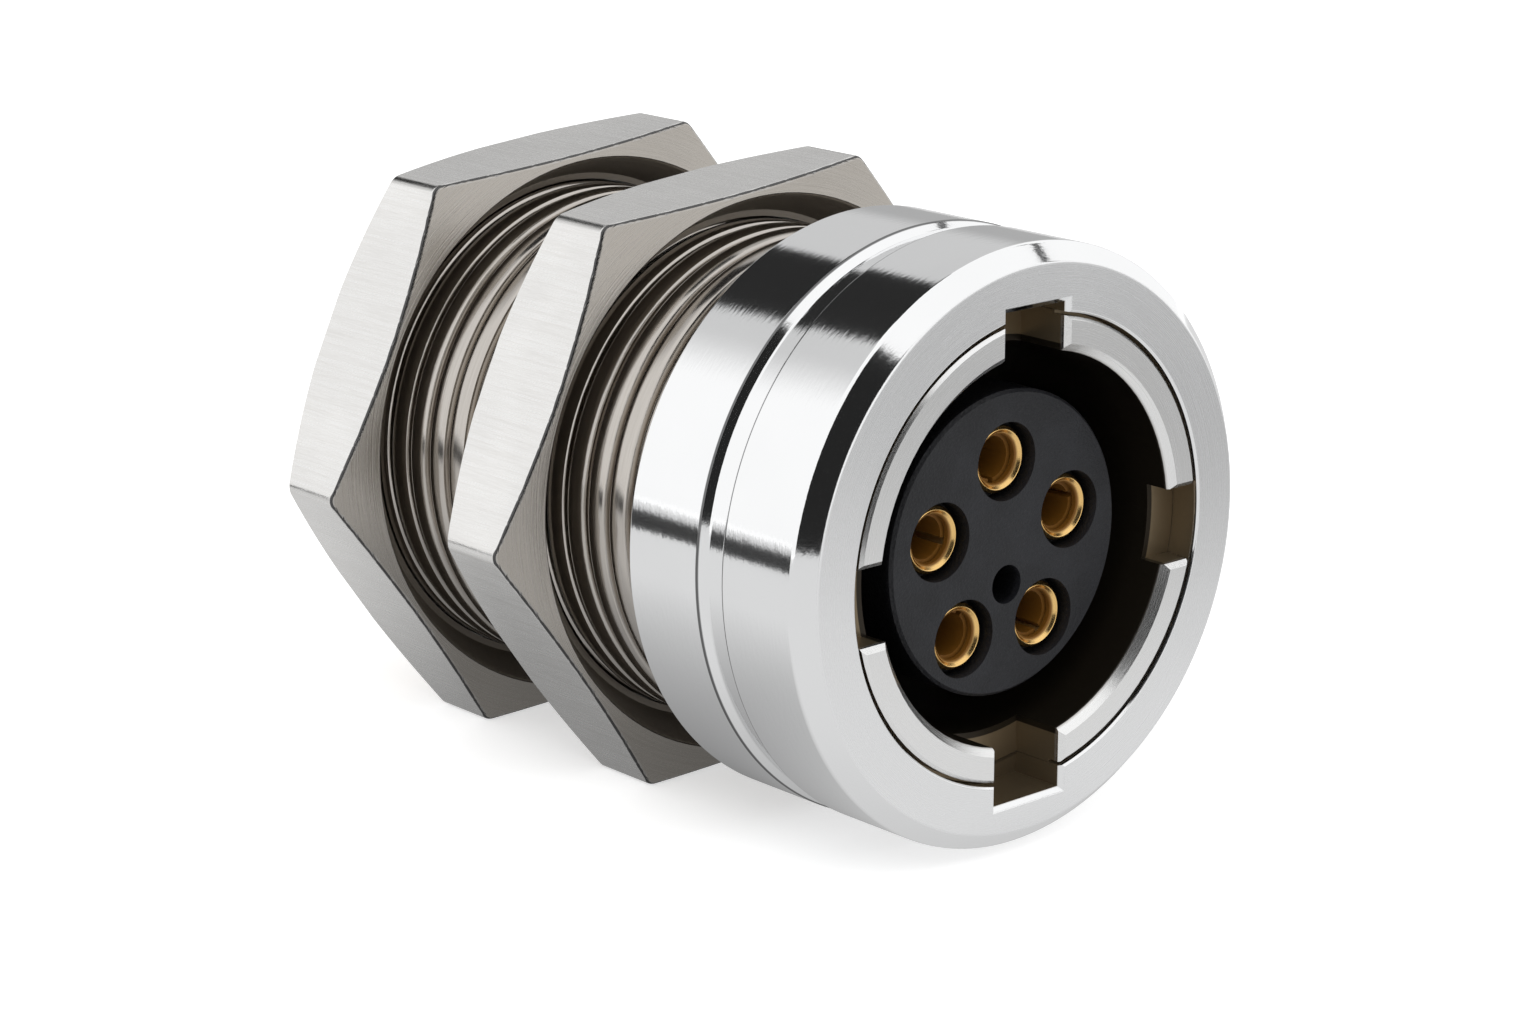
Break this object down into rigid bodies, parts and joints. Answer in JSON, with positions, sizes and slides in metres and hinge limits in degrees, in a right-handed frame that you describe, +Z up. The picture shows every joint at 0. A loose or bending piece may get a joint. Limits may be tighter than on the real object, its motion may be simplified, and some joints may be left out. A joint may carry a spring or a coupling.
{
  "type": "push-pull panel socket",
  "caption": "Round panel-mount connector socket with a keyed, castellated front, a ring of gold socket contacts in a black insert, and hexagonal nuts on a fine-threaded barrel.",
  "frame": {"origin": "on the socket's axis, at the head's rear shoulder that seats on the panel", "axes": "-Y is the mating direction, out of the front face; +Y runs back along the barrel to the solder cups; +Z is up, through the narrower key notch and the top contact"},
  "size_m": [0.0262, 0.0365, 0.024],
  "materials": {
    "shell_chrome": "bright plated brass, polished on the head and turned satin on the front face",
    "crown_satin_nickel": "satin nickel plated, darker in the notches",
    "nut_nickel": "nickel plated, brushed flats and turned dish",
    "insulator_black": "moulded black with a fine matte grain",
    "carrier_nickel": "nickel plated, as turned",
    "ring_nickel": "nickel plated, as turned",
    "contact_gold": "gold plated",
    "hood_gold": "bright gold plated rim"
  },
  "bodies": {
    "socket": {"outer_shell": "shell_chrome", "earthing_crown": "crown_satin_nickel", "front_insulator": "insulator_black", "rear_insulator": "insulator_black", "upper_insert_carrier": "carrier_nickel", "lower_insert_carrier": "carrier_nickel", "retaining_ring": "ring_nickel", "contact_1": "contact_gold", "contact_2": "contact_gold", "contact_3": "contact_gold", "contact_4": "contact_gold", "contact_5": "contact_gold", "contact_hood_1": "hood_gold", "contact_hood_2": "hood_gold", "contact_hood_3": "hood_gold", "contact_hood_4": "hood_gold", "contact_hood_5": "hood_gold"},
    "front_nut": {"front_nut": "nut_nickel"},
    "rear_nut": {"rear_nut": "nut_nickel"}
  },
  "joints": [
    {"name": "front_nut_travel", "type": "slide", "parent": "socket", "child": "front_nut", "axis": [0, 1, 0], "range_m": [-0.005, 0]},
    {"name": "rear_nut_travel", "type": "slide", "parent": "socket", "child": "rear_nut", "axis": [0, 1, 0], "range_m": [-0.0059, 0.0015]}
  ]
}
